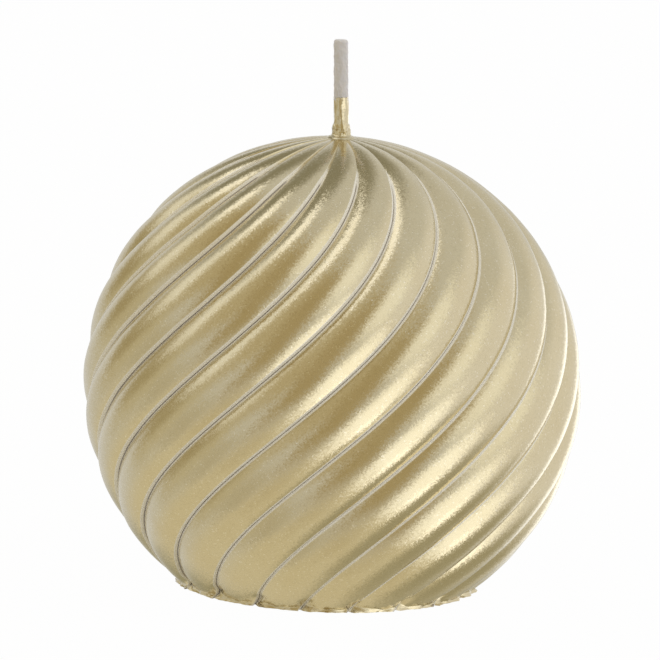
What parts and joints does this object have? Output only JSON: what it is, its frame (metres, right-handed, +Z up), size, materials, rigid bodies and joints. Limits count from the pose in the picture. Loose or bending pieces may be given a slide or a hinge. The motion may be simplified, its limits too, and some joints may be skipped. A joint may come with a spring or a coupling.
{
  "type": "ball candle",
  "caption": "Ball-shaped table candle with twisted lobes under a champagne-gold dip coat, a flat base and a waxed cotton wick.",
  "frame": {"origin": "centre of the flat base that the candle stands on, on the ball's axis", "axes": "+Z up along the wick; +X to the right and -Y towards the viewer in the picture"},
  "size_m": [0.0996, 0.0996, 0.1092],
  "materials": {
    "ivory_wax": "cast ivory paraffin wax, soft satin",
    "gold_lacquer": "champagne-gold metallic lacquer over a dip coat, satin with a fine sparkle",
    "cotton": "braided bleached cotton",
    "priming_wax": "thin translucent wax, satin",
    "tinplate": "pressed tinplate, bright"
  },
  "bodies": {
    "root": {"wax_core": "ivory_wax", "gold_coat": "gold_lacquer", "wick_braid": "cotton", "wick_wax": "priming_wax", "wick_tab": "tinplate"}
  },
  "joints": []
}
